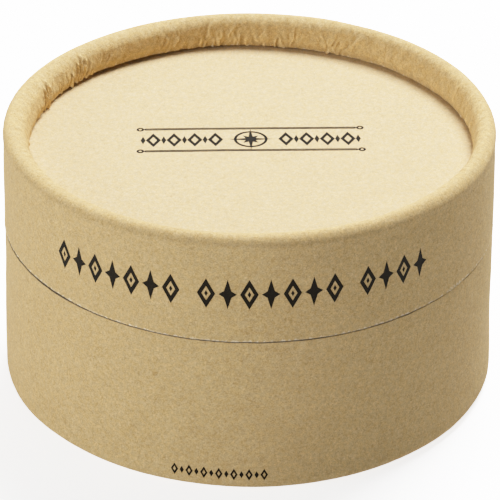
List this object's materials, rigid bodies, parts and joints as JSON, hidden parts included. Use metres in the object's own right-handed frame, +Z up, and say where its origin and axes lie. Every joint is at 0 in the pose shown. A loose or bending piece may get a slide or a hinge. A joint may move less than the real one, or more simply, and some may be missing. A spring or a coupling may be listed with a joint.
{
  "type": "round paperboard box",
  "caption": "Round two-piece kraft paperboard box with a flush lift-off lid, curled rims and an inner neck that guides the lid.",
  "frame": {"origin": "centre of the bottom, on the surface that the box stands on", "axes": "+Z up along the box's axis, through the centre of the lid; -Y is the printed front"},
  "size_m": [0.096, 0.096, 0.0546],
  "materials": {
    "kraft_wrap": "matte",
    "kraft_face": "matte",
    "lining_paper": "matte",
    "greyboard": "matte",
    "print_ink": "matte"
  },
  "bodies": {
    "base": {"neck_wrap": "lining_paper", "neck_tube": "greyboard", "neck_lining": "lining_paper", "base_wrap": "kraft_wrap", "base_tube": "greyboard", "base_floor_paper": "lining_paper", "base_disc": "greyboard", "base_disc_face": "kraft_face"},
    "lid": {"lid_wrap": "kraft_wrap", "lid_tube": "greyboard", "lid_lining": "lining_paper", "lid_disc_face": "kraft_face", "lid_disc": "greyboard", "lid_disc_lining": "lining_paper"}
  },
  "joints": [
    {"name": "lid_lift", "type": "slide", "parent": "base", "child": "lid", "axis": [0, 0, 1], "range_m": [0, 0.07]}
  ]
}
